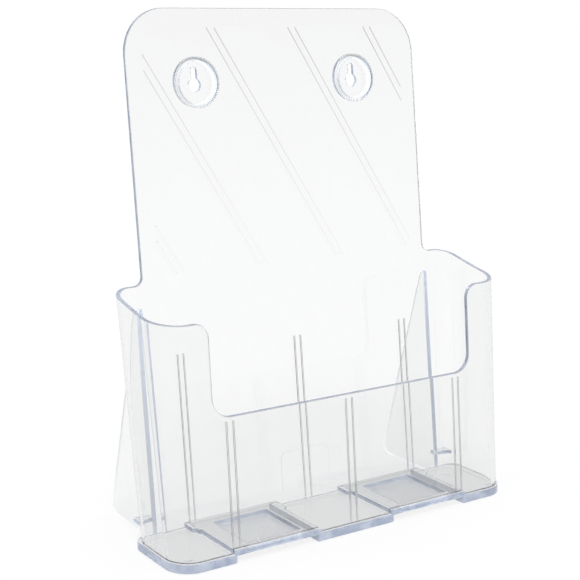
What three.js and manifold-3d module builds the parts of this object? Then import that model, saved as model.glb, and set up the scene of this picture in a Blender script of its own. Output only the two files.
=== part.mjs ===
// A clear moulded-plastic magazine rack that stands on a counter or hangs on a wall.
// Millimetres, +Z up, +Y to the rear, +X to the right of a person who faces the rack.
// The pieces are drawn upright and then sheared back, so that the walls lean and the floor stays level.
import * as THREE from "three";
import { mergeVertices } from "three/addons/utils/BufferGeometryUtils.js";
import Module from "manifold-3d";

const wasm = await Module();
wasm.setup();

// ---- driving dimensions ----
const GAP = 0.3; // clearance between pieces that meet
const WALL = 2.4; // thickness of the moulded walls
const LEAN = THREE.MathUtils.degToRad(6.75); // lean of the back and of the pocket
const ARC_STEPS = 14; // straight pieces in a rounded corner
const ROUND_STEPS = 48; // straight pieces in a full circle

const PANEL = {
  halfWidth: 101,
  top: 298,
  cornerRadius: 26,
  neckRadius: 5, // concave round where the panel widens into the pocket's shoulders
};

const POCKET = {
  depth: 49, // outer face of the front to the front face of the back, at the floor
  halfWidth: 117.5, // outer, at the floor
  rearRadius: 12, // outer radii of the upright corners
  frontRadius: 15,
  draft: 0.027, // how far the walls move out for each millimetre of height
  shoulderZ: 146, // top of the side walls at the back
  frontZ: 134, // top of the front
};

const CUTOUT = { halfWidth: 90.3, bottomZ: 81.5, bottomRadius: 11, hornRadius: 8.5 };

const FOOT = { top: 5.4, outer: 118.4, lip: 1.2, frontRadius: 15.5, rearRadius: 8 };

const PLATFORM = { inner: 25.5, outer: 82.8, bottom: 4.2, top: 8 };

const RECESS = { inner: 35.5, outer: 72, front: -43, rear: -6, floor: 5, padThickness: 0.6 };

const PAD_GROOVES = { pitch: 1.5, width: 0.6, depth: 0.3 };

const CUP = { x: 55.5, z: 256.3, outerRadius: 14.5, innerRadius: 12.5, depth: 7, floor: 2 };

const KEYHOLE = { headRadius: 4, slotRadius: 1.9, headDrop: 1.5, slotRise: 7 };

const RIB = { width: 0.8, height: 0.45, pairSpacing: 4.4, columnX: 80 };

const DIAGONAL = {
  angle: THREE.MathUtils.degToRad(59.5),
  pitch: 55.6, // between neighbouring pairs, measured level
  count: 5,
  firstX: -156.6, // where the first pair would meet the top of the ribbed field
  inset: 11,
  bottomZ: 150.5,
};

const COLUMN_RIB_TOP = { back: 105, front: 78.5 };

const FIN = { inner: 101.2, thickness: 2.8, topZ: 132.5, topDepth: 4.2, rearY: 59.5, heelRadius: 6 };

const LEDGE = { bottomZ: 12, height: 2.6, depth: 5.5, reach: 10 };

// ---- sizes that follow ----
const LEAN_SLOPE = Math.tan(LEAN);
const PANEL_REAR = WALL; // upright coordinates: the back's front face is y = 0
const FRONT_OUTER = -POCKET.depth;
const FRONT_INNER = FRONT_OUTER + WALL;
const FRONT_CORNER = {
  x: POCKET.halfWidth - POCKET.frontRadius,
  y: FRONT_OUTER + POCKET.frontRadius,
};
const REAR_CORNER = {
  x: POCKET.halfWidth - POCKET.rearRadius,
  y: PANEL_REAR - POCKET.rearRadius,
};
const SLAB_FRONT = FRONT_OUTER + FOOT.top * LEAN_SLOPE - FOOT.lip;
const SLAB_REAR = PANEL_REAR + FOOT.top * LEAN_SLOPE + GAP;

// ---- materials ----
function clearPlastic(name, color, opacity, roughness = 0.06) {
  return new THREE.MeshStandardMaterial({
    name,
    color,
    roughness,
    metalness: 0,
    transparent: true,
    opacity,
  });
}

const wallPlastic = clearPlastic("clear_wall", 0xf2f4f6, 0.3);
const slabPlastic = clearPlastic("clear_slab", 0xc9d5e8, 0.5);
const finPlastic = clearPlastic("clear_fin", 0xd9e0ea, 0.4);
const padPlastic = clearPlastic("textured_pad", 0xc8d0dc, 0.6, 0.35);

// ---- solids ----
function solidOf(geometry) {
  const bare = geometry.clone();
  bare.deleteAttribute("normal");
  bare.deleteAttribute("uv");
  const merged = mergeVertices(bare, 1e-4);
  return new wasm.Manifold(
    new wasm.Mesh({
      numProp: 3,
      vertProperties: merged.attributes.position.array,
      triVerts: new Uint32Array(merged.index.array),
    }),
  );
}

function geometryOf(solid) {
  const mesh = solid.getMesh();
  const geometry = new THREE.BufferGeometry();
  geometry.setAttribute("position", new THREE.BufferAttribute(mesh.vertProperties, 3));
  geometry.setIndex(new THREE.BufferAttribute(mesh.triVerts, 1));
  return geometry;
}

function boxSolid(xRange, yRange, zRange) {
  const size = [xRange, yRange, zRange].map(([low, high]) => high - low);
  const middle = [xRange, yRange, zRange].map(([low, high]) => (low + high) / 2);
  return solidOf(new THREE.BoxGeometry(...size).translate(...middle));
}

// A shape drawn in X and Z, with its thickness from yFront back to yRear.
function uprightPlate(shape, yFront, yRear) {
  const geometry = new THREE.ExtrudeGeometry(shape, {
    depth: yRear - yFront,
    bevelEnabled: false,
    curveSegments: ARC_STEPS,
  });
  return solidOf(geometry.rotateX(Math.PI / 2).translate(0, yRear, 0));
}

// A shape drawn in X and Y, raised from zLow to zHigh.
function levelSlab(shape, zLow, zHigh) {
  const geometry = new THREE.ExtrudeGeometry(shape, {
    depth: zHigh - zLow,
    bevelEnabled: false,
    curveSegments: ARC_STEPS,
  });
  return solidOf(geometry.translate(0, 0, zLow));
}

// A shape drawn in Y and Z, with its thickness from xLow to xHigh.
function sideProfile(shape, xLow, xHigh) {
  const geometry = new THREE.ExtrudeGeometry(shape, {
    depth: xHigh - xLow,
    bevelEnabled: false,
    curveSegments: ARC_STEPS,
  });
  const turn = new THREE.Matrix4().set(0, 0, 1, xLow, 1, 0, 0, 0, 0, 1, 0, 0, 0, 0, 0, 1);
  return solidOf(geometry.applyMatrix4(turn));
}

function polygon(points) {
  return new THREE.Shape(points.map(([u, v]) => new THREE.Vector2(u, v)));
}

// ---- lean, draft and mirror ----
function leanBack(geometry) {
  return geometry.applyMatrix4(new THREE.Matrix4().makeShear(0, 0, 0, 0, 0, LEAN_SLOPE));
}

// How far the draft moves a pocket wall out at this height.
function draftAt(z) {
  return POCKET.draft * (z - FOOT.top);
}

// Moves the pocket's walls out from the floor upwards: the front forwards, the sides
// sideways, and the rounded front corners away from their centres.
function spread(geometry) {
  const position = geometry.attributes.position;
  for (let i = 0; i < position.count; i += 1) {
    const x = position.getX(i);
    const y = position.getY(i);
    const out = draftAt(position.getZ(i));
    const fromCorner = [Math.abs(x) - FRONT_CORNER.x, y - FRONT_CORNER.y];
    if (fromCorner[0] <= 0) {
      position.setY(i, y - out);
    } else if (fromCorner[1] >= 0) {
      position.setX(i, x + Math.sign(x) * out);
    } else {
      const reach = Math.hypot(...fromCorner);
      position.setX(i, x + (Math.sign(x) * out * fromCorner[0]) / reach);
      position.setY(i, y + (out * fromCorner[1]) / reach);
    }
  }
  return geometry;
}

function mirrored(solid) {
  return solid.mirror([1, 0, 0]);
}

const rack = new THREE.Group();
rack.name = "magazine_rack";

function addNode(name, geometry, material) {
  const mesh = new THREE.Mesh(geometry, material);
  mesh.name = name;
  rack.add(mesh);
}

// Adds a right-hand piece and its mirror image as two nodes.
function addPair(name, rightSolid, material, shapeUp = (geometry) => geometry) {
  addNode(`right_${name}`, shapeUp(geometryOf(rightSolid)), material);
  addNode(`left_${name}`, shapeUp(geometryOf(mirrored(rightSolid))), material);
}

// ---- floor line shared by the back and the front, which stand on feet and platforms ----
function steppedBottom(halfWidth) {
  const low = FOOT.top + GAP;
  const high = PLATFORM.top + GAP;
  const right = [
    [PLATFORM.inner - GAP, low],
    [PLATFORM.inner - GAP, high],
    [PLATFORM.outer + GAP, high],
    [PLATFORM.outer + GAP, low],
    [halfWidth, low],
  ];
  const left = right.map(([x, z]) => [-x, z]).reverse();
  return [...left, ...right];
}

// ---- ribs ----
function columnRibs(yLow, yHigh, topZ) {
  const pairs = [-RIB.columnX, 0, RIB.columnX];
  const lines = pairs.flatMap((x) => [x - RIB.pairSpacing / 2, x + RIB.pairSpacing / 2]);
  const bottomZ = PLATFORM.top + 2 * GAP;
  return lines.map((x) =>
    boxSolid([x - RIB.width / 2, x + RIB.width / 2], [yLow, yHigh], [bottomZ, topZ]),
  );
}

function diagonalRibs(yLow, yHigh) {
  const topZ = PANEL.top - DIAGONAL.inset;
  const side = PANEL.halfWidth - DIAGONAL.inset;
  const field = boxSolid([-side, side], [yLow, yHigh], [DIAGONAL.bottomZ, topZ]);
  const length = 2 * PANEL.top;
  const ribs = [];
  for (let pair = 0; pair < DIAGONAL.count; pair += 1) {
    for (const offset of [-RIB.pairSpacing / 2, RIB.pairSpacing / 2]) {
      const topX = DIAGONAL.firstX + pair * DIAGONAL.pitch + offset / Math.sin(DIAGONAL.angle);
      const bar = new THREE.BoxGeometry(length, yHigh - yLow, RIB.width)
        .rotateY(DIAGONAL.angle)
        .translate(topX, (yLow + yHigh) / 2, topZ);
      ribs.push(solidOf(bar).intersect(field));
    }
  }
  return ribs.filter((rib) => !rib.isEmpty());
}

// ---- back ----
function panelShape() {
  const { halfWidth, top, cornerRadius, neckRadius } = PANEL;
  const neckZ = POCKET.shoulderZ;
  const edge = REAR_CORNER.x - GAP;
  const shoulder = edge + draftAt(neckZ);
  const bottom = steppedBottom(edge + draftAt(FOOT.top + GAP));
  const shape = new THREE.Shape();
  shape.moveTo(...bottom[0]);
  bottom.slice(1).forEach(([x, z]) => shape.lineTo(x, z));
  shape.lineTo(shoulder, neckZ);
  shape.lineTo(halfWidth + neckRadius, neckZ);
  shape.quadraticCurveTo(halfWidth, neckZ, halfWidth, neckZ + neckRadius);
  shape.absarc(halfWidth - cornerRadius, top - cornerRadius, cornerRadius, 0, Math.PI / 2);
  shape.absarc(cornerRadius - halfWidth, top - cornerRadius, cornerRadius, Math.PI / 2, Math.PI);
  shape.lineTo(-halfWidth, neckZ + neckRadius);
  shape.quadraticCurveTo(-halfWidth, neckZ, -halfWidth - neckRadius, neckZ);
  shape.lineTo(-shoulder, neckZ);
  for (const side of [-1, 1]) {
    const hole = new THREE.Path();
    hole.absarc(side * CUP.x, CUP.z, CUP.outerRadius + GAP, 0, 2 * Math.PI);
    shape.holes.push(hole);
  }
  return shape;
}

function backPanel() {
  const rooted = WALL / 2; // the ribs reach this far into the plate
  const ribs = [
    ...columnRibs(-RIB.height, rooted, COLUMN_RIB_TOP.back),
    ...diagonalRibs(-RIB.height, rooted),
  ];
  const holeRadius = CUP.outerRadius + GAP;
  const cups = [-1, 1].map((side) => {
    const round = new THREE.CylinderGeometry(holeRadius, holeRadius, 4 * WALL, ROUND_STEPS);
    return solidOf(round.translate(side * CUP.x, 0, CUP.z));
  });
  let panel = uprightPlate(panelShape(), 0, PANEL_REAR);
  ribs.forEach((rib) => {
    panel = panel.add(cups.reduce((left, cup) => left.subtract(cup), rib));
  });
  return leanBack(geometryOf(panel));
}

// A round cup set into the back, with a keyhole in its floor for a screw head.
function keyholeCup() {
  const { outerRadius, innerRadius, depth, floor } = CUP;
  const profile = [
    [0, depth - floor],
    [innerRadius, depth - floor],
    [innerRadius, 0],
    [outerRadius, 0],
    [outerRadius, depth],
    [0, depth],
  ].map(([radius, y]) => new THREE.Vector2(radius, y));
  const cup = solidOf(new THREE.LatheGeometry(profile, ROUND_STEPS));
  const keyhole = uprightPlate(keyholeShape(), -depth, 2 * depth);
  return cup.subtract(keyhole).translate([CUP.x, 0, CUP.z]);
}

function keyholeShape() {
  const { headRadius, slotRadius, headDrop, slotRise } = KEYHOLE;
  const meet = Math.acos(slotRadius / headRadius); // angle at which the slot leaves the head
  const shape = new THREE.Shape();
  shape.absarc(0, -headDrop, headRadius, Math.PI - meet, meet, false);
  shape.absarc(0, slotRise, slotRadius, 0, Math.PI);
  return shape;
}

// ---- pocket ----
function frontShape() {
  const { halfWidth, bottomZ, bottomRadius, hornRadius } = CUTOUT;
  const edge = FRONT_CORNER.x - GAP;
  const bottom = steppedBottom(edge);
  const shape = new THREE.Shape();
  shape.moveTo(...bottom[0]);
  bottom.slice(1).forEach(([x, z]) => shape.lineTo(x, z));
  shape.lineTo(edge, POCKET.frontZ);
  shape.absarc(halfWidth + hornRadius, POCKET.frontZ - hornRadius, hornRadius, Math.PI / 2, Math.PI);
  shape.absarc(halfWidth - bottomRadius, bottomZ + bottomRadius, bottomRadius, 0, -Math.PI / 2, true);
  shape.absarc(
    bottomRadius - halfWidth, bottomZ + bottomRadius, bottomRadius, -Math.PI / 2, -Math.PI, true,
  );
  shape.absarc(-halfWidth - hornRadius, POCKET.frontZ - hornRadius, hornRadius, 0, Math.PI / 2);
  shape.lineTo(-edge, POCKET.frontZ);
  return shape;
}

function frontWall() {
  let wall = uprightPlate(frontShape(), FRONT_OUTER, FRONT_INNER);
  const rooted = FRONT_INNER - WALL / 2;
  columnRibs(rooted, FRONT_INNER + RIB.height, COLUMN_RIB_TOP.front).forEach((rib) => {
    wall = wall.add(rib);
  });
  return leanBack(spread(geometryOf(wall)));
}

// One side wall with its rounded corners. Its top edge falls towards the front.
function sideWall() {
  const { halfWidth, rearRadius, frontRadius, shoulderZ, frontZ } = POCKET;
  const quarter = Math.PI / 2;
  const section = new THREE.Shape();
  section.absarc(REAR_CORNER.x, REAR_CORNER.y, rearRadius - WALL, quarter, 0, true);
  section.absarc(FRONT_CORNER.x, FRONT_CORNER.y, frontRadius - WALL, 0, -quarter, true);
  section.absarc(FRONT_CORNER.x, FRONT_CORNER.y, frontRadius, -quarter, 0, false);
  section.absarc(REAR_CORNER.x, REAR_CORNER.y, rearRadius, 0, quarter, false);
  const wall = levelSlab(section, FOOT.top + GAP, shoulderZ);
  const slope = (shoulderZ - frontZ) / (PANEL_REAR - FRONT_OUTER);
  const above = shoulderZ + 2 * WALL;
  const fallingTop = polygon([
    [FRONT_OUTER - WALL, frontZ - slope * WALL],
    [PANEL_REAR + WALL, shoulderZ + slope * WALL],
    [PANEL_REAR + WALL, above],
    [FRONT_OUTER - WALL, above],
  ]);
  return wall.subtract(sideProfile(fallingTop, 0, 2 * halfWidth));
}

// ---- floor ----
function outerFoot() {
  const { outer, frontRadius, rearRadius, top } = FOOT;
  const inner = PLATFORM.outer + GAP;
  const shape = new THREE.Shape();
  shape.moveTo(inner, SLAB_FRONT);
  shape.lineTo(outer - frontRadius, SLAB_FRONT);
  shape.absarc(outer - frontRadius, SLAB_FRONT + frontRadius, frontRadius, -Math.PI / 2, 0, false);
  shape.absarc(outer - rearRadius, SLAB_REAR - rearRadius, rearRadius, 0, Math.PI / 2, false);
  shape.lineTo(inner, SLAB_REAR);
  return levelSlab(shape, 0, top);
}

function centreFoot() {
  const half = PLATFORM.inner - GAP;
  let foot = boxSolid([-half, half], [SLAB_FRONT, SLAB_REAR], [0, FOOT.top]);
  const ribFront = FRONT_INNER + FOOT.top * LEAN_SLOPE + GAP;
  for (const x of [-RIB.pairSpacing / 2, RIB.pairSpacing / 2]) {
    const rib = boxSolid(
      [x - RIB.width / 2, x + RIB.width / 2],
      [ribFront, -GAP],
      [FOOT.top / 2, FOOT.top + RIB.height],
    );
    foot = foot.add(rib);
  }
  return foot;
}

// A raised floor section with a shallow square recess.
function platform() {
  const slab = boxSolid(
    [PLATFORM.inner, PLATFORM.outer],
    [SLAB_FRONT, SLAB_REAR],
    [PLATFORM.bottom, PLATFORM.top],
  );
  const recess = boxSolid(
    [RECESS.inner, RECESS.outer],
    [RECESS.front, RECESS.rear],
    [RECESS.floor, 2 * PLATFORM.top],
  );
  return slab.subtract(recess);
}

// The finely grooved floor of a platform's recess.
function texturedPad() {
  const xRange = [RECESS.inner + GAP, RECESS.outer - GAP];
  const bottom = RECESS.floor + GAP;
  const top = bottom + RECESS.padThickness;
  let pad = boxSolid(xRange, [RECESS.front + GAP, RECESS.rear - GAP], [bottom, top]);
  const { pitch, width, depth } = PAD_GROOVES;
  for (let y = RECESS.front + pitch; y < RECESS.rear - pitch; y += pitch) {
    pad = pad.subtract(boxSolid([0, PLATFORM.outer], [y, y + width], [top - depth, 2 * top]));
  }
  return pad;
}

// ---- rear stand ----
function panelRearAt(z) {
  return PANEL_REAR + z * LEAN_SLOPE;
}

// An upright triangular fin that holds the back up from behind.
function standFin() {
  const { inner, thickness, topZ, topDepth, rearY, heelRadius } = FIN;
  const front = SLAB_REAR + GAP;
  const meetZ = (front - GAP - PANEL_REAR) / LEAN_SLOPE; // the front edge is upright up to here
  const topFront = panelRearAt(topZ) + GAP;
  const topRear = topFront + topDepth;
  const heelSlope = (rearY - topRear) / topZ;
  const profile = new THREE.Shape();
  profile.moveTo(front, 0);
  profile.lineTo(rearY - heelRadius, 0);
  profile.quadraticCurveTo(rearY, 0, rearY - heelSlope * heelRadius, heelRadius);
  profile.lineTo(topRear, topZ);
  profile.lineTo(topFront, topZ);
  profile.lineTo(front, meetZ);
  return sideProfile(profile, inner, inner + thickness);
}

// A short stiffener level with the floor, between the fin and the pocket's rear corner.
function cornerLedge() {
  const { bottomZ, height, depth, reach } = LEDGE;
  const inner = FIN.inner + FIN.thickness + GAP;
  const rear = panelRearAt(bottomZ) + depth;
  const centreX = REAR_CORNER.x + draftAt(bottomZ);
  const centreY = REAR_CORNER.y + (bottomZ + height) * LEAN_SLOPE;
  const radius = POCKET.rearRadius + 2 * GAP; // the ledge's front edge follows the corner
  const start = Math.acos((inner + GAP - centreX) / radius);
  const end = Math.acos((inner + reach - centreX) / radius);
  const shape = new THREE.Shape();
  shape.moveTo(inner, rear);
  shape.lineTo(inner, panelRearAt(bottomZ + height) + GAP);
  shape.absarc(centreX, centreY, radius, start, end, true);
  shape.lineTo(inner + reach, rear);
  return levelSlab(shape, bottomZ, bottomZ + height);
}

// ---- assembly ----
addNode("back_panel", backPanel(), wallPlastic);
addPair("keyhole_cup", keyholeCup(), wallPlastic, leanBack);
addNode("front_wall", frontWall(), wallPlastic);
addPair("side_wall", sideWall(), wallPlastic, (geometry) => leanBack(spread(geometry)));
addPair("foot", outerFoot(), slabPlastic);
addNode("centre_foot", geometryOf(centreFoot()), slabPlastic);
addPair("platform", platform(), slabPlastic);
addPair("textured_pad", texturedPad(), padPlastic);
addPair("stand_fin", standFin(), finPlastic);
addPair("corner_ledge", cornerLedge(), slabPlastic);

// The origin is the middle of the footprint, on the counter.
const bounds = new THREE.Box3().setFromObject(rack);
rack.position.y = -bounds.getCenter(new THREE.Vector3()).y;

export default rack;
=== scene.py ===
"""The looks of a clear moulded magazine rack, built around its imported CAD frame.

The rack is one clear moulding, so its walls, floor and keyhole cups are drawn here as one continuous shell.
The two fins behind it and the two grooved recess floors are pieces of their own.
Shapes are drawn in millimetres, upright, with y = 0 at the front face of the back, and are then leaned,
moved into the frame and scaled to metres.
"""

import math

import bmesh
import bpy
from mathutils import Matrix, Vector


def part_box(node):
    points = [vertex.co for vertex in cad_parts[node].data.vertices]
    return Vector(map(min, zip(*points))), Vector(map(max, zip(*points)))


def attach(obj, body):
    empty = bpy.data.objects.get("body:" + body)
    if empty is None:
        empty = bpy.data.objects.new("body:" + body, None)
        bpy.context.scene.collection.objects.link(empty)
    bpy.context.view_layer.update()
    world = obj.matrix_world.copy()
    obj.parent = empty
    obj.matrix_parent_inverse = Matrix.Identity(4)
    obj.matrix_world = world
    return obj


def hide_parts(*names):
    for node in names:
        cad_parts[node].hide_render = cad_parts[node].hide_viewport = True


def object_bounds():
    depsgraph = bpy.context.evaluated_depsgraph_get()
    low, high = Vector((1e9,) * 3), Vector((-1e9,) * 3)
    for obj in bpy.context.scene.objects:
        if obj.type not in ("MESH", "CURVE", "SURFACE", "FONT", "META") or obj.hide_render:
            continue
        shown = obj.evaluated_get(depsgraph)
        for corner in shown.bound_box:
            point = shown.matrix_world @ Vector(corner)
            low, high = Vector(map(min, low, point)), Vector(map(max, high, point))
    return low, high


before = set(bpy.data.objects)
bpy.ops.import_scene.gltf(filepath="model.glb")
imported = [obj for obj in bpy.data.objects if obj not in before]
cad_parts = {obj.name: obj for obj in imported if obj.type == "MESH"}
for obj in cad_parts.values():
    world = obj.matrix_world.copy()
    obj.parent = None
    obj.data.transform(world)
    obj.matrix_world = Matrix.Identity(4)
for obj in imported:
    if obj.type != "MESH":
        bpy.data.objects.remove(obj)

CAD_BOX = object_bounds()
BODY = "root"

# ---- the plastic and its looks ----
PLASTIC_IOR = 1.57
TAKEN_PER_METRE = (20, 19.2, 18.4)  # shares of red, green and blue that the plastic takes from light
STREAKS_PER_METRE = 140
STREAK_DETAIL = 2
STREAK_RANGE = (0.35, 0.65)  # the noise values of the darkest and the lightest streaks
ROUGHNESS_RANGE = (0.8, 1.2)  # shares of a look's roughness
WAVES_PER_METRE = 45
WAVE_HEIGHT = 0.00008  # in metres
WAVE_STRENGTH = 0.4
WHITE = (1, 1, 1, 1)


def object_noise(tree, per_metre):
    """Noise that is fixed to the object, with about this many changes to the metre."""
    place = tree.nodes.new("ShaderNodeTexCoord")
    noise = tree.nodes.new("ShaderNodeTexNoise")
    noise.inputs["Scale"].default_value = per_metre
    tree.links.new(place.outputs["Object"], noise.inputs["Vector"])
    return noise


def streaked_tint(tree, streaks, light, dark):
    """A tint between two colours. From inside the plastic the surface is white, a painted lightening of the
    tinted looks where they are seen from inside.
    """
    tint = tree.nodes.new("ShaderNodeValToRGB")
    for element, position, colour in zip(tint.color_ramp.elements, STREAK_RANGE, (dark, light)):
        element.position = position
        element.color = (*colour, 1)
    tree.links.new(streaks.outputs["Fac"], tint.inputs["Fac"])
    # Painted light: seen from inside, the tint gives way to white, which lightens surfaces that get little
    # light there.
    sides = tree.nodes.new("ShaderNodeNewGeometry")
    seen = tree.nodes.new("ShaderNodeMix")
    seen.data_type = "RGBA"
    tree.links.new(sides.outputs["Backfacing"], seen.inputs["Factor"])
    tree.links.new(tint.outputs["Color"], seen.inputs["A"])
    seen.inputs["B"].default_value = WHITE
    return seen.outputs["Result"]


def uneven_roughness(tree, streaks, roughness):
    uneven = tree.nodes.new("ShaderNodeMapRange")
    least, most = ROUGHNESS_RANGE
    uneven.inputs["To Min"].default_value = roughness * least
    uneven.inputs["To Max"].default_value = roughness * most
    tree.links.new(streaks.outputs["Fac"], uneven.inputs["Value"])
    return uneven.outputs["Result"]


def flow_waves(tree):
    """A surface normal with the faint waves that the flowing plastic left."""
    waves = object_noise(tree, WAVES_PER_METRE)
    bump = tree.nodes.new("ShaderNodeBump")
    bump.inputs["Strength"].default_value = WAVE_STRENGTH
    bump.inputs["Distance"].default_value = WAVE_HEIGHT
    tree.links.new(waves.outputs["Fac"], bump.inputs["Height"])
    return bump.outputs["Normal"]


def absorption(tree):
    volume = tree.nodes.new("ShaderNodeVolumeAbsorption")
    most = max(TAKEN_PER_METRE)
    volume.inputs["Color"].default_value = (*[1 - taken / most for taken in TAKEN_PER_METRE], 1)
    volume.inputs["Density"].default_value = most
    return volume.outputs["Volume"]


def clear_plastic(name, light, dark, roughness, transmission, painted_glow):
    """Clear moulded plastic, a little uneven in its tint, its roughness and its flatness.

    The last argument is painted light: the strength of an emission by which the surface gives off light of
    its own, in its light tint. It stands in for the light that the plastic carries inside itself to its
    edges.
    """
    material = bpy.data.materials.new(name)
    material.use_nodes = True
    tree = material.node_tree
    tree.nodes.clear()
    output = tree.nodes.new("ShaderNodeOutputMaterial")
    surface = tree.nodes.new("ShaderNodeBsdfPrincipled")
    surface.inputs["Transmission Weight"].default_value = transmission
    surface.inputs["IOR"].default_value = PLASTIC_IOR
    # Painted glow: an emission in the light tint, though the plastic is no lamp.
    surface.inputs["Emission Color"].default_value = (*light, 1)
    surface.inputs["Emission Strength"].default_value = painted_glow
    streaks = object_noise(tree, STREAKS_PER_METRE)
    streaks.inputs["Detail"].default_value = STREAK_DETAIL
    tree.links.new(streaked_tint(tree, streaks, light, dark), surface.inputs["Base Color"])
    tree.links.new(uneven_roughness(tree, streaks, roughness), surface.inputs["Roughness"])
    tree.links.new(flow_waves(tree), surface.inputs["Normal"])
    tree.links.new(surface.outputs["BSDF"], output.inputs["Surface"])
    tree.links.new(absorption(tree), output.inputs["Volume"])
    return material


FACE = clear_plastic("clear_plastic", (0.998, 0.998, 0.994), (0.985, 0.985, 0.98), 0.02, 1, 0)
# Rims: a bluish, partly diffuse tint with a faint glow. This is painted light in place of the light that
# refracts through the plastic and gathers at its rims.
RIM = clear_plastic("clear_plastic_rim_painted_light", (0.66, 0.73, 0.88), (0.4, 0.47, 0.63), 0.15, 0.6, 0.08)
# Soft edges, such as the keyhole cups' rims: rough and bluish, with a painted glow.
SOFT_PAINTED_GLOW = clear_plastic("clear_plastic_soft_edge_painted_glow", (0.8, 0.86, 0.95), (0.68, 0.76, 0.9), 0.45, 1, 0.26)
# Recess floors: finely grooved plastic, lightened by a faint painted glow.
GRAINED_PAINTED_GLOW = clear_plastic("clear_plastic_grained_painted_glow", (0.97, 0.98, 1), (0.92, 0.94, 0.97), 0.25, 1, 0.04)
# Narrow edge bands beside the rims: a strong painted glow that stands in for highlights along the edges.
EDGE = clear_plastic("clear_plastic_edge_painted_highlight", (0.96, 0.98, 1), (0.9, 0.93, 0.97), 0.4, 1, 0.45)
# Steep flanks of the column ribs: grey painted shade, so that the fine ribs show as lines.
SHADE = clear_plastic("clear_plastic_rib_flank_painted_shade", (0.74, 0.75, 0.76), (0.64, 0.65, 0.66), 0.2, 0.7, 0)
# Fins' front rims, where they meet the back: a bluish tint with a strong painted glow.
ROOT = clear_plastic("clear_plastic_fin_root_painted_glow", (0.66, 0.74, 0.9), (0.56, 0.65, 0.83), 0.3, 0.6, 0.38)
# Undersides of the floor: a faint painted glow.
UNDER = clear_plastic("clear_plastic_underside_painted_glow", (0.97, 0.98, 1), (0.92, 0.94, 0.97), 0.1, 1, 0.1)
LOOKS = (FACE, RIM, SOFT_PAINTED_GLOW, EDGE, SHADE, ROOT, UNDER)  # every moulded mesh has these, one to a slot
FACE_SLOT = LOOKS.index(FACE)
RIM_SLOT = LOOKS.index(RIM)
SOFT_PAINTED_GLOW_SLOT = LOOKS.index(SOFT_PAINTED_GLOW)
EDGE_SLOT = LOOKS.index(EDGE)
SHADE_SLOT = LOOKS.index(SHADE)
ROOT_SLOT = LOOKS.index(ROOT)
UNDER_SLOT = LOOKS.index(UNDER)

# A plate's faces, told apart by the share of their normal that points straight out of the plate.
RIM_FACING = 0.5  # below this share a face belongs to the rim
EDGE_FACING = 0.98  # below this share it belongs to the bright edge beside the rim

# ---- driving sizes, in millimetres ----
MM = 0.001
WALL = 2.4
LEAN_SLOPE = math.tan(math.radians(6.75))
EDGE_ROUND = 0.4  # rounding of the rims
ARC_STEP = math.radians(7.5)
BEND_STEPS = 30  # across each rounded upright corner of the pocket
FLAT_STEPS = 6  # along the side walls' rims between those corners
SUNK = 0.6  # how far a piece reaches into its neighbour before the two are joined
SAME_PLACE = 1e-4  # points closer than this are one point


def node_box(name):
    """The lowest and highest corner of a CAD node, in millimetres."""
    low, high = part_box(name)
    return low / MM, high / MM


PANEL_HIGH = node_box("back_panel")[1]
FRONT_HIGH = node_box("front_wall")[1]
SIDE_HIGH = node_box("right_side_wall")[1]
FOOT_LOW, FOOT_HIGH = node_box("right_foot")
PLATFORM_LOW, PLATFORM_HIGH = node_box("right_platform")
PAD_LOW, PAD_HIGH = node_box("right_textured_pad")
CUP_LOW, CUP_HIGH = node_box("right_keyhole_cup")
FIN_LOW, FIN_HIGH = node_box("right_stand_fin")
LEDGE_LOW, LEDGE_HIGH = node_box("right_corner_ledge")

PANEL_TOP = PANEL_HIGH.z
PANEL_Y = PANEL_HIGH.y - WALL - PANEL_TOP * LEAN_SLOPE  # the back's front face, where it would meet z = 0
PANEL_HALF_WIDTH = 101
PANEL_CORNER = 26
NECK_RADIUS = 5
SHOULDER_Z = SIDE_HIGH.z
FRONT_Z = FRONT_HIGH.z

DRAFT = 0.027  # how far the pocket's walls move out for each millimetre of height
POCKET_DEPTH = 49
POCKET_HALF_WIDTH = 117.5
FRONT_RADIUS = 15
REAR_RADIUS = 12
TAIL = 2  # how far the pocket's wall runs on into the back
TAIL_SUNK = 0.02  # how far its faces lie inside the back's there
RIM_SAG = 3.2
CUTOUT_HALF_WIDTH = 90.3
CUTOUT_BOTTOM = 81.5
CUTOUT_CORNER = 11
HORN_RADIUS = 8.5

RIB_WIDTH = 1.6
RIB_STEPS = 8  # faces across a rib
RIB_FLANK_STEPS = (2, 3, 6, 7)  # the steep ones, counted from 1
DIAGONAL_RIB_HEIGHT = 0.4
BACK_RIB_HEIGHT = 0.22
FRONT_RIB_HEIGHT = 0.2
RIB_PAIR = 4.4
RIB_COLUMN_X = 80
BACK_RIB_TOP = 105
FRONT_RIB_TOP = 78.5
DIAGONAL_ANGLE = math.radians(59.5)
DIAGONAL_PITCH = 55.6
DIAGONAL_FIRST_X = -156.6
DIAGONAL_COUNT = 5
DIAGONAL_INSET = 11
DIAGONAL_BOTTOM = 150.5

CUP_X = (CUP_LOW.x + CUP_HIGH.x) / 2
CUP_Z = (CUP_LOW.z + CUP_HIGH.z) / 2
CUP_OUTER = (CUP_HIGH.x - CUP_LOW.x) / 2
CUP_WALL = 2
CUP_INNER = CUP_OUTER - CUP_WALL
CUP_DEPTH = 7
CUP_FLOOR = 2
CUP_ROUND = 1.8  # rounding of the cups' rear edges
KEY_HEAD_RADIUS = 4
KEY_SLOT_RADIUS = 1.9
KEY_HEAD_DROP = 1.5
KEY_SLOT_RISE = 7
KEY_ROUND = 0.01  # rounding of the keyholes' tool

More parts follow.
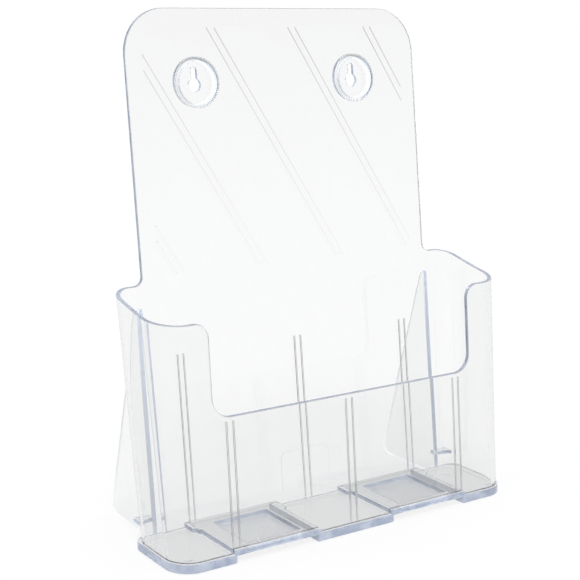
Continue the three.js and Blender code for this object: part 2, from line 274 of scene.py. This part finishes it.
FOOT_FRONT_RADIUS = 15.5
FOOT_REAR_RADIUS = 8
JOG = 3  # the platforms are this much wider at their rear
JOG_DEPTH = 13
JOG_RUN = 1.5  # the depth over which the width changes
INNER_CORNER = 0.5  # corner radius of the feet beside the platforms
RECESS_CORNER = 1
RECESS_ROUND = 0.3  # rounding of the recesses' lower edges
PIECE_GAP = 0.3  # between the separate pieces
EJECTOR_RADIUS = 3
EJECTOR_HEIGHT = 0.18
EJECTOR_ROUND = 0.162
EJECTOR_FROM_SIDE = 11.5
EJECTOR_FROM_FRONT = 9.5

GROOVE_PITCH = 0.8
GROOVE_DEPTH = 0.22
GROOVE_SECTION = ((0, 1), (0.2, 0.25), (0.5, 0), (0.8, 0.25))  # shares of the pitch and of the depth

PLAQUE = (35, 26)  # width and height of the faint rounded rectangle low on the back's rear face
PLAQUE_FOOT = 10
PLAQUE_CORNER = 4
PLAQUE_DEPTH = 0.25
PLAQUE_ROUND = 0.15

FIN_TOP_DEPTH = 4.2
FIN_HEEL = 6
FIN_TIP = 1.2  # rounding of the fins' upper end
FIN_TURN = 20  # degrees by which the fins' rear edge leans from upright


# ---- outlines ----
def arc(u, v, radius, start, end):
    """Points of an arc about (u, v), with angles in degrees."""
    start, end = math.radians(start), math.radians(end)
    steps = max(2, math.ceil(abs(end - start) / ARC_STEP))
    angles = [start + (end - start) * i / steps for i in range(steps + 1)]
    return [(u + radius * math.cos(a), v + radius * math.sin(a)) for a in angles]


def rounded_rectangle(u_low, v_low, u_high, v_high, radii):
    """A rectangle whose corners, from the lower left and anticlockwise, have these radii."""
    corners = [
        (u_low, v_low, 1, 1, 180),
        (u_high, v_low, -1, 1, 270),
        (u_high, v_high, -1, -1, 0),
        (u_low, v_high, 1, -1, 90),
    ]
    points = []
    for (u, v, du, dv, start), radius in zip(corners, radii):
        points += arc(u + du * radius, v + dv * radius, radius, start, start + 90)
    return points


def mirrored_outline(right_half):
    """Closes a right half, listed from the bottom to the top, with its mirror image."""
    return right_half + [(-u, v) for u, v in reversed(right_half)]


# ---- solids ----
def scene_object(name, mesh):
    made = bpy.data.objects.new(name, mesh)
    bpy.context.scene.collection.objects.link(made)
    return made


def evaluated_mesh(made):
    """The object's mesh with its modifiers applied. The object is removed."""
    graph = bpy.context.evaluated_depsgraph_get()
    graph.update()
    mesh = bpy.data.meshes.new_from_object(made.evaluated_get(graph))
    bpy.data.objects.remove(made)
    return mesh


def plate(outline, thickness, rounding=EDGE_ROUND, rim=RIM_SLOT):
    """A flat plate in the U-V plane, centred on w = 0. Its rims are rounded and have the slot rim."""
    curve = bpy.data.curves.new("plate", "CURVE")
    curve.dimensions = "2D"
    curve.fill_mode = "BOTH"
    curve.extrude = thickness / 2 - rounding
    curve.bevel_depth = rounding
    curve.bevel_resolution = 2
    curve.offset = -rounding
    spline = curve.splines.new("POLY")
    spline.points.add(len(outline) - 1)
    for point, (u, v) in zip(spline.points, outline):
        point.co = (u, v, 0, 1)
    spline.use_cyclic_u = True
    mesh = closed(evaluated_mesh(scene_object("plate", curve)))
    for look in LOOKS:
        mesh.materials.append(look)
    # Rim faces take the given rim look, by default the rim's painted bluish tint and glow. The faces beside
    # them take the edge look, a painted highlight glow.
    for polygon in mesh.polygons:
        facing = abs(polygon.normal.z)
        if facing < RIM_FACING:
            polygon.material_index = rim
        elif facing < EDGE_FACING:
            polygon.material_index = EDGE_SLOT
    return mesh


def bridged(name, rings, looks):
    """A mesh that spans two rings of points, with a face over each end. The faces between come first."""
    work = bmesh.new()
    first, last = [[work.verts.new(point) for point in ring] for ring in rings]
    for i in range(len(first)):
        j = (i + 1) % len(first)
        work.faces.new((first[i], first[j], last[j], last[i]))
    work.faces.new(first)
    work.faces.new(list(reversed(last)))
    mesh = bpy.data.meshes.new(name)
    work.to_mesh(mesh)
    work.free()
    for look in looks:
        mesh.materials.append(look)
    return mesh


def closed(mesh):
    """Merges what the curve left apart, so that the mesh is one closed surface facing out."""
    work = bmesh.new()
    work.from_mesh(mesh)
    bmesh.ops.remove_doubles(work, verts=work.verts, dist=SAME_PLACE)
    bmesh.ops.recalc_face_normals(work, faces=work.faces)
    work.to_mesh(mesh)
    work.free()
    return mesh


def moved(mesh, place):
    """Moves each point by a function, and turns the faces out again."""
    for vertex in mesh.vertices:
        vertex.co = place(vertex.co)
    return closed(mesh)


def combined(first, second, operation):
    """Joins or cuts two closed meshes."""
    base = scene_object("base", first)
    tool = scene_object("tool", second)
    step = base.modifiers.new("step", "BOOLEAN")
    step.operation = operation
    step.solver = "MANIFOLD"
    step.object = tool
    mesh = evaluated_mesh(base)
    bpy.data.objects.remove(tool)
    return mesh


def joined(meshes):
    result = meshes[0]
    for mesh in meshes[1:]:
        result = combined(result, mesh, "UNION")
    return result


def cut(mesh, tools):
    for tool in tools:
        mesh = combined(mesh, tool, "DIFFERENCE")
    return mesh


# ---- places ----
def upright(y_middle):
    """Stands a plate up, its u along X and its v along Z."""
    return lambda point: Vector((point.x, y_middle + point.z, point.y))


def level(z_middle):
    """Leaves a plate lying, its u along X and its v along Y."""
    return lambda point: Vector((point.x, point.y, z_middle + point.z))


def sideways(x_middle):
    """Stands a plate on its edge, its u along Y and its v along Z."""
    return lambda point: Vector((x_middle + point.z, point.x, point.y))


def on_side(side):
    """Leaves a right-hand mesh in its place for side 1, or mirrors it to the left for side -1."""
    return lambda point: Vector((side * point.x, point.y, point.z))


def leaned(point):
    return Vector((point.x, point.y + point.z * LEAN_SLOPE, point.z))


def in_frame(point):
    """From millimetres about the back's foot to the frame's metres."""
    return Vector((point.x, point.y + PANEL_Y, point.z)) * MM


# ---- ribs ----
def rib(start, end, face_y, rise, flank=FACE_SLOT):
    """A fine rounded ridge from start to end, points in X and Z. It rises from an upright face along Y.

    The steep quarter on each side is given the slot flank.
    """
    start, end = Vector(start), Vector(end)
    along = (end - start).normalized()
    across = Vector((-along.y, along.x))
    towards = math.copysign(1, rise)
    shares = [i / RIB_STEPS - 0.5 for i in range(RIB_STEPS + 1)]
    section = [(-RIB_WIDTH / 2, -SUNK)]
    section += [(RIB_WIDTH * share, abs(rise) * math.cos(math.pi * share) ** 2) for share in shares]
    section += [(RIB_WIDTH / 2, -SUNK)]
    rings = []
    for point in (start, end):
        ring = []
        for side, height in section:
            flat = point + across * side
            ring.append((flat.x, face_y + towards * height, flat.y))
        rings.append(ring)
    mesh = bridged("rib", rings, LOOKS)
    for step in RIB_FLANK_STEPS:
        mesh.polygons[step].material_index = flank
    return closed(mesh)


def column_ribs(face_y, rise, top):
    """Three pairs of upright ribs."""
    ribs = []
    for middle in (-RIB_COLUMN_X, 0, RIB_COLUMN_X):
        for side in (-RIB_PAIR / 2, RIB_PAIR / 2):
            foot = FOOT_HIGH.z if middle == 0 else PLATFORM_HIGH.z
            x = middle + side
            # The ribs' steep flanks take the grey painted shade.
            ribs.append(rib((x, foot - SUNK), (x, top), face_y, rise, SHADE_SLOT))
    return ribs


def diagonal_ribs():
    """Pairs of slanted ribs on the back, clipped to a field inside its edge."""
    top = PANEL_TOP - DIAGONAL_INSET
    half_width = PANEL_HALF_WIDTH - DIAGONAL_INSET
    slope = math.tan(DIAGONAL_ANGLE)
    ribs = []
    for pair in range(DIAGONAL_COUNT):
        for side in (-RIB_PAIR / 2, RIB_PAIR / 2):
            top_x = DIAGONAL_FIRST_X + pair * DIAGONAL_PITCH + side / math.sin(DIAGONAL_ANGLE)
            start_x = max(top_x, -half_width)
            end_x = min(top_x + (top - DIAGONAL_BOTTOM) / slope, half_width)
            if end_x > start_x:
                start = (start_x, top - (start_x - top_x) * slope)
                end = (end_x, top - (end_x - top_x) * slope)
                ribs.append(rib(start, end, 0, -DIAGONAL_RIB_HEIGHT))
    return ribs


# ---- back ----
def panel_outline():
    edge = POCKET_HALF_WIDTH - REAR_RADIUS
    neck_z = SHOULDER_Z + NECK_RADIUS
    right = [
        (edge, FOOT_HIGH.z - SUNK),
        (edge + draft_at(SHOULDER_Z), SHOULDER_Z),
        *arc(PANEL_HALF_WIDTH + NECK_RADIUS, neck_z, NECK_RADIUS, 270, 180),
        *arc(PANEL_HALF_WIDTH - PANEL_CORNER, PANEL_TOP - PANEL_CORNER, PANEL_CORNER, 0, 90),
    ]
    return mirrored_outline(right)


def keyhole_outline(x, z):
    meet = math.degrees(math.acos(KEY_SLOT_RADIUS / KEY_HEAD_RADIUS))
    head = arc(x, z - KEY_HEAD_DROP, KEY_HEAD_RADIUS, 180 - meet, 360 + meet)
    slot = arc(x, z + KEY_SLOT_RISE, KEY_SLOT_RADIUS, 0, 180)
    return head + slot


def disc(x, z, radius, y_low, y_high, rounding):
    """An upright round plate whose rounded edges have the soft edge look, bluish with a painted glow, from
    y_low back to y_high.
    """
    outline = arc(x, z, radius, 0, 360)[:-1]
    round_plate = plate(outline, y_high - y_low, rounding, SOFT_PAINTED_GLOW_SLOT)
    return moved(round_plate, upright((y_low + y_high) / 2))


def plaque():
    """A tool that sinks a shallow rounded rectangle into the back's rear face."""
    width, height = PLAQUE
    low, high = (-width / 2, PLAQUE_FOOT), (width / 2, PLAQUE_FOOT + height)
    outline = rounded_rectangle(*low, *high, (PLAQUE_CORNER,) * 4)
    # The plaque's sides take the soft edge look, with its painted glow.
    return moved(plate(outline, 2 * PLAQUE_DEPTH, PLAQUE_ROUND, SOFT_PAINTED_GLOW_SLOT), upright(WALL))


def back():
    panel = moved(plate(panel_outline(), WALL), upright(WALL / 2))
    cups = [disc(side * CUP_X, CUP_Z, CUP_OUTER, SUNK, CUP_DEPTH, CUP_ROUND) for side in (-1, 1)]
    ribs = column_ribs(0, -BACK_RIB_HEIGHT, BACK_RIB_TOP) + diagonal_ribs()
    panel = joined([panel, *cups, *ribs])
    floor_y = CUP_DEPTH - CUP_FLOOR
    tools = [plaque()]
    for side in (-1, 1):
        tools.append(disc(side * CUP_X, CUP_Z, CUP_INNER, -WALL, floor_y, EDGE_ROUND))
        key = plate(keyhole_outline(side * CUP_X, CUP_Z), 4 * WALL, KEY_ROUND, RIM_SLOT)
        tools.append(moved(key, upright(CUP_DEPTH)))
    return moved(cut(panel, tools), leaned)


# ---- pocket ----
class Bend:
    """A rounded upright corner of the pocket, between two lengths along its unrolled wall."""

    def __init__(self, start, radius, centre_y):
        self.start = start
        self.radius = radius
        self.end = start + radius * math.pi / 2
        self.centre = (POCKET_HALF_WIDTH - radius, centre_y)


FRONT_BEND = Bend(POCKET_HALF_WIDTH - FRONT_RADIUS, FRONT_RADIUS, FRONT_RADIUS - POCKET_DEPTH)
REAR_Y = WALL - REAR_RADIUS
REAR_BEND = Bend(FRONT_BEND.end + REAR_Y - FRONT_BEND.centre[1], REAR_RADIUS, REAR_Y)
WALL_END = REAR_BEND.end + TAIL


def bend_lengths(bend):
    return [bend.start + (bend.end - bend.start) * i / BEND_STEPS for i in range(BEND_STEPS + 1)]


def around(bend, length, depth):
    """The place at this length in a bend and at this depth under the outer face."""
    turn = (length - bend.start) / bend.radius
    reach = bend.radius - depth
    if bend is FRONT_BEND:
        return bend.centre[0] + reach * math.sin(turn), bend.centre[1] - reach * math.cos(turn)
    return bend.centre[0] + reach * math.cos(turn), bend.centre[1] + reach * math.sin(turn)


def wall_place(length, depth):
    """X and Y of a point of the right half of the pocket's wall, before it is drafted."""
    if length <= FRONT_BEND.start:
        return length, depth - POCKET_DEPTH
    if length <= FRONT_BEND.end:
        return around(FRONT_BEND, length, depth)
    if length <= REAR_BEND.start:
        return POCKET_HALF_WIDTH - depth, FRONT_BEND.centre[1] + length - FRONT_BEND.end
    tail = min(1, (length - REAR_BEND.start) / (REAR_BEND.end - REAR_BEND.start))
    depth += TAIL_SUNK * tail * (1 - 2 * depth / WALL)
    if length <= REAR_BEND.end:
        return around(REAR_BEND, length, depth)
    return REAR_BEND.centre[0] - (length - REAR_BEND.end), WALL - depth


def wrapped(point):
    """Bends the unrolled wall round the pocket's four upright corners."""
    x, y = wall_place(abs(point.x), point.z + WALL / 2)
    return Vector((math.copysign(x, point.x), y, point.y))


def rim_height(length):
    """The side wall's top edge falls from the back to the front, and sags a little between."""
    share = (wall_place(length, 0)[1] + POCKET_DEPTH) / (WALL + POCKET_DEPTH)
    return FRONT_Z + (SHOULDER_Z - FRONT_Z) * share - RIM_SAG * share * (1 - share)


def pocket_outline():
    """The pocket's wall unrolled: its length along U, its height along V."""
    horn = arc(CUTOUT_HALF_WIDTH + HORN_RADIUS, FRONT_Z - HORN_RADIUS, HORN_RADIUS, 90, 180)
    inner_corner = arc(
        CUTOUT_HALF_WIDTH - CUTOUT_CORNER, CUTOUT_BOTTOM + CUTOUT_CORNER, CUTOUT_CORNER, 0, -90
    )
    flat = REAR_BEND.start - FRONT_BEND.end
    side = [FRONT_BEND.end + flat * i / FLAT_STEPS for i in range(1, FLAT_STEPS)]
    lengths = bend_lengths(FRONT_BEND) + side + bend_lengths(REAR_BEND) + [WALL_END]
    right = [
        (WALL_END, FOOT_HIGH.z - SUNK),
        *((length, rim_height(length) - TAIL_SUNK) for length in reversed(lengths)),
        *horn,
        *inner_corner,
    ]
    return mirrored_outline(right)


def draft_at(z):
    """How far the pocket's walls have moved out at this height."""
    return DRAFT * (z - FOOT_HIGH.z)


def spread(point):
    """Moves the front forwards, the sides sideways, and the front corners out from their centres."""
    out = draft_at(point.z)
    from_centre = Vector((abs(point.x) - FRONT_BEND.centre[0], point.y - FRONT_BEND.centre[1]))
    if from_centre.x <= 0:
        return point + Vector((0, -out, 0))
    if from_centre.y >= 0:
        return point + Vector((math.copysign(out, point.x), 0, 0))
    shift = from_centre.normalized() * out
    return point + Vector((math.copysign(shift.x, point.x), shift.y, 0))


def with_columns(mesh, places):
    """Splits a flat mesh at these places along X, so that it can be bent there."""
    work = bmesh.new()
    work.from_mesh(mesh)
    for x in places:
        parts = work.verts[:] + work.edges[:] + work.faces[:]
        bmesh.ops.bisect_plane(
            work, geom=parts, plane_co=(x, 0, 0), plane_no=(1, 0, 0), dist=SAME_PLACE / 10
        )
    work.to_mesh(mesh)
    work.free()
    return mesh


def pocket():
    columns = bend_lengths(FRONT_BEND) + bend_lengths(REAR_BEND)
    wall = with_columns(plate(pocket_outline(), WALL), [side * x for x in columns for side in (-1, 1)])
    wall = moved(wall, wrapped)
    ribs = column_ribs(WALL - POCKET_DEPTH, FRONT_RIB_HEIGHT, FRONT_RIB_TOP)
    return moved(moved(joined([wall, *ribs]), spread), leaned)


# ---- floor ----
def outer_foot(side):
    low, high = FOOT_LOW, FOOT_HIGH
    outline = rounded_rectangle(
        low.x - 3 * SUNK, low.y - PANEL_Y, high.x, high.y - PANEL_Y,
        (INNER_CORNER, FOOT_FRONT_RADIUS, FOOT_REAR_RADIUS, INNER_CORNER),
    )
    foot = moved(plate(outline, high.z), level(high.z / 2))
    return moved(foot, on_side(side))


def centre_foot():
    half_width = PLATFORM_LOW.x + 3 * SUNK
    outline = rounded_rectangle(
        -half_width, FOOT_LOW.y - PANEL_Y, half_width, FOOT_HIGH.y - PANEL_Y, (INNER_CORNER,) * 4
    )
    return moved(plate(outline, FOOT_HIGH.z), level(FOOT_HIGH.z / 2))


def platform(side):
    """A raised floor section, a little wider along its rear, with a square recess."""
    low, high = PLATFORM_LOW, PLATFORM_HIGH
    front, rear = low.y - PANEL_Y, high.y - PANEL_Y
    jog = rear - JOG_DEPTH
    half = [(high.x, front), (high.x, jog), (high.x + JOG, jog + JOG_RUN), (high.x + JOG, rear)]
    middle = (low.x + high.x) / 2
    outline = half + [(2 * middle - x, y) for x, y in reversed(half)]
    slab = moved(plate(outline, high.z - low.z), level((low.z + high.z) / 2))
    recess_low = PAD_LOW - Vector((PIECE_GAP, PIECE_GAP, PIECE_GAP))
    recess_high = PAD_HIGH + Vector((PIECE_GAP, PIECE_GAP, 0))
    recess = rounded_rectangle(
        recess_low.x, recess_low.y - PANEL_Y, recess_high.x, recess_high.y - PANEL_Y,
        (RECESS_CORNER,) * 4,
    )
    depth = 2 * high.z
    tool = moved(plate(recess, depth, RECESS_ROUND), level(recess_low.z + depth / 2))
    return moved(cut(slab, [tool]), on_side(side))


def ejector_mark(side):
    x = side * (FOOT_HIGH.x - EJECTOR_FROM_SIDE)
    y = FOOT_LOW.y - PANEL_Y + EJECTOR_FROM_FRONT
    outline = arc(x, y, EJECTOR_RADIUS, 0, 360)[:-1]
    thickness = 2 * EJECTOR_HEIGHT
    return moved(plate(outline, thickness, EJECTOR_ROUND), level(FOOT_HIGH.z))


def mark_underside(mesh):
    # Faces that point down take the underside look, with its faint painted glow.
    for polygon in mesh.polygons:
        if polygon.normal.z < -EDGE_FACING:
            polygon.material_index = UNDER_SLOT


def floor_pieces():
    pieces = [centre_foot()]
    for side in (-1, 1):
        pieces += [outer_foot(side), platform(side), ejector_mark(side)]
    for mesh in pieces:
        mark_underside(mesh)
    return pieces


# ---- fins ----
def ledge_outline():
    """A short ledge beside the fin. Its front edge follows the pocket's rear corner."""
    inner = FIN_HIGH.x - 2 * SUNK
    rear = LEDGE_HIGH.y - PANEL_Y
    centre_x = REAR_BEND.centre[0] + draft_at(LEDGE_LOW.z)
    centre_y = REAR_BEND.centre[1] + LEDGE_HIGH.z * LEAN_SLOPE
    radius = REAR_RADIUS + 2 * PIECE_GAP
    start = math.degrees(math.acos((FIN_HIGH.x - centre_x) / radius))
    end = math.degrees(math.acos((LEDGE_HIGH.x - centre_x) / radius))
    follow = arc(centre_x, centre_y, radius, start, end)
    return [(inner, rear), (inner, follow[0][1]), *follow, (LEDGE_HIGH.x, rear)]


def stand_fin(side):
    """A triangular fin with the short ledge beside it."""
    low, high = FIN_LOW, FIN_HIGH
    front, rear = low.y - PANEL_Y, high.y - PANEL_Y
    top_front = WALL + high.z * LEAN_SLOPE + PIECE_GAP
    top_rear = top_front + FIN_TOP_DEPTH
    meet_z = (front - WALL - PIECE_GAP) / LEAN_SLOPE
    outline = [
        (front, 0),
        *arc(rear - FIN_HEEL, FIN_HEEL, FIN_HEEL, 270, 360 + FIN_TURN),
        *arc(top_rear - FIN_TIP, high.z - FIN_TIP, FIN_TIP, FIN_TURN, 90),
        (top_front, high.z),
        (front, meet_z),
    ]
    thickness = high.x - low.x
    fin = moved(plate(outline, thickness, rim=SOFT_PAINTED_GLOW_SLOT), sideways((low.x + high.x) / 2))
    # The fin's rims trade the soft edge look for painted glow: the edge look's highlight at the rear, and
    # the root look's bluish glow at the front.
    for polygon in fin.polygons:
        if polygon.material_index == SOFT_PAINTED_GLOW_SLOT:
            faces_rear = polygon.normal.y > 0
            polygon.material_index = EDGE_SLOT if faces_rear else ROOT_SLOT
    ledge_height = LEDGE_HIGH.z - LEDGE_LOW.z
    ledge = moved(plate(ledge_outline(), ledge_height), level((LEDGE_LOW.z + LEDGE_HIGH.z) / 2))
    return moved(joined([fin, ledge]), on_side(side))


# ---- recess floors ----
def grooved_pad(side):
    """A thin plate whose upper face is finely grooved from left to right."""
    low, high = PAD_LOW, PAD_HIGH
    front, rear = low.y - PANEL_Y, high.y - PANEL_Y
    count = round((rear - front) / GROOVE_PITCH)
    pitch = (rear - front) / count
    section = [(front, low.z)]
    for i in range(count):
        for along, down in GROOVE_SECTION:
            section.append((front + (i + along) * pitch, high.z - down * GROOVE_DEPTH))
    section += [(rear, high.z - GROOVE_DEPTH), (rear, low.z)]
    rings = [[(x, y, z) for y, z in section] for x in (low.x, high.x)]
    # The pad takes the grooved look, with its faint painted glow.
    return moved(closed(bridged("pad", rings, [GRAINED_PAINTED_GLOW])), on_side(side))


# ---- assembly ----
SHARP_ANGLE = math.radians(40)  # edges that turn further than this aren't shaded as round
WEIGHT_BY_AREA = 100  # how much the larger faces lead where smooth faces meet, from 1 to 100


def add_piece(name, mesh, replaced):
    """Places a finished mesh in the frame as a piece that stands for these CAD nodes."""
    piece = scene_object(name, moved(mesh, in_frame))
    for polygon in mesh.polygons:
        polygon.use_smooth = True
    mesh.set_sharp_from_angle(angle=SHARP_ANGLE)
    weighted = piece.modifiers.new("weighted_normals", "WEIGHTED_NORMAL")
    weighted.keep_sharp = True
    weighted.weight = WEIGHT_BY_AREA
    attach(piece, BODY)
    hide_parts(*replaced)
    return piece


shell_nodes = ["back_panel", "front_wall", "centre_foot"]
for prefix in ("left_", "right_"):
    shell_nodes += [prefix + name for name in ("side_wall", "keyhole_cup", "foot", "platform")]
add_piece("moulded_shell", joined([back(), pocket(), *floor_pieces()]), shell_nodes)

for prefix, side in (("left_", -1), ("right_", 1)):
    fin_nodes = [prefix + name for name in ("stand_fin", "corner_ledge")]
    add_piece(prefix + "rear_fin", stand_fin(side), fin_nodes)
    add_piece(prefix + "recess_floor", grooved_pad(side), [prefix + "textured_pad"])


# ---- floor, light and camera ----
VIEW_AZIMUTH = math.radians(-33.90)
VIEW_ELEVATION = math.radians(11.69)
AIM_OFFSET = Vector((-8.7, 3, -14.3)) * MM  # from the middle of the rack
CAMERA_DISTANCE = 0.7798
SENSOR_WIDTH = 36
LENS = 81.8

# The light that comes from each height, as the sine of its elevation, and its colour.
WORLD_STOPS = (
    (0.03, (1, 1, 1)),
    (0.2, (0.6, 0.6, 0.59)),
    (0.4, (0.6, 0.6, 0.59)),
    (0.8, (1.5, 1.52, 1.58)),
)
FLOOR_LIGHT = 0.84
FLOOR_TINT = (0.1, 0.1, 0.1, 1)
FLOOR_HALF_SIZE = 30
FLOOR_Z = -0.3 * MM
SUN_ENERGY = 2
SUN_ANGLE = math.radians(24)
SUN_TURN = (math.radians(35), 0, math.radians(-30))


def stage_floor():
    work = bmesh.new()
    bmesh.ops.create_grid(work, x_segments=1, y_segments=1, size=FLOOR_HALF_SIZE)
    mesh = bpy.data.meshes.new("stage_floor")
    work.to_mesh(mesh)
    work.free()
    made = scene_object("stage_floor", mesh)
    made.location.z = FLOOR_Z
    material = bpy.data.materials.new("pale_floor")
    material.use_nodes = True
    surface = material.node_tree.nodes["Principled BSDF"]
    surface.inputs["Base Color"].default_value = FLOOR_TINT
    surface.inputs["Emission Color"].default_value = WHITE
    surface.inputs["Emission Strength"].default_value = FLOOR_LIGHT
    surface.inputs["Roughness"].default_value = 1
    surface.inputs["Specular IOR Level"].default_value = 0
    mesh.materials.append(material)


def studio_world():
    """A white horizon, a dimmer room over it, and a bright, cool light above."""
    world = bpy.data.worlds.new("studio")
    bpy.context.scene.world = world
    world.use_nodes = True
    tree = world.node_tree
    background = tree.nodes["Background"]
    direction = tree.nodes.new("ShaderNodeTexCoord")
    split = tree.nodes.new("ShaderNodeSeparateXYZ")
    ramp = tree.nodes.new("ShaderNodeValToRGB")
    tree.links.new(direction.outputs["Generated"], split.inputs[0])
    tree.links.new(split.outputs["Z"], ramp.inputs[0])
    tree.links.new(ramp.outputs["Color"], background.inputs["Color"])
    elements = ramp.color_ramp.elements
    while len(elements) < len(WORLD_STOPS):
        elements.new(1)
    for element, (height, colour) in zip(elements, WORLD_STOPS):
        element.position = height
        element.color = (*colour, 1)


def overhead_light():
    light = bpy.data.lights.new("overhead", "SUN")
    light.energy = SUN_ENERGY
    light.angle = SUN_ANGLE
    made = bpy.data.objects.new("overhead", light)
    bpy.context.scene.collection.objects.link(made)
    made.rotation_euler = SUN_TURN


def camera():
    towards_camera = Vector((
        math.sin(VIEW_AZIMUTH) * math.cos(VIEW_ELEVATION),
        -math.cos(VIEW_AZIMUTH) * math.cos(VIEW_ELEVATION),
        math.sin(VIEW_ELEVATION),
    ))
    data = bpy.data.cameras.new("camera")
    data.sensor_width = SENSOR_WIDTH
    data.lens = LENS
    made = bpy.data.objects.new("camera", data)
    bpy.context.scene.collection.objects.link(made)
    aim = (CAD_BOX[0] + CAD_BOX[1]) / 2 + AIM_OFFSET
    made.location = aim + towards_camera * CAMERA_DISTANCE
    made.rotation_euler = towards_camera.to_track_quat("Z", "Y").to_euler()
    bpy.context.scene.camera = made


stage_floor()
studio_world()
overhead_light()
camera()
bpy.context.scene.view_settings.view_transform = "Standard"
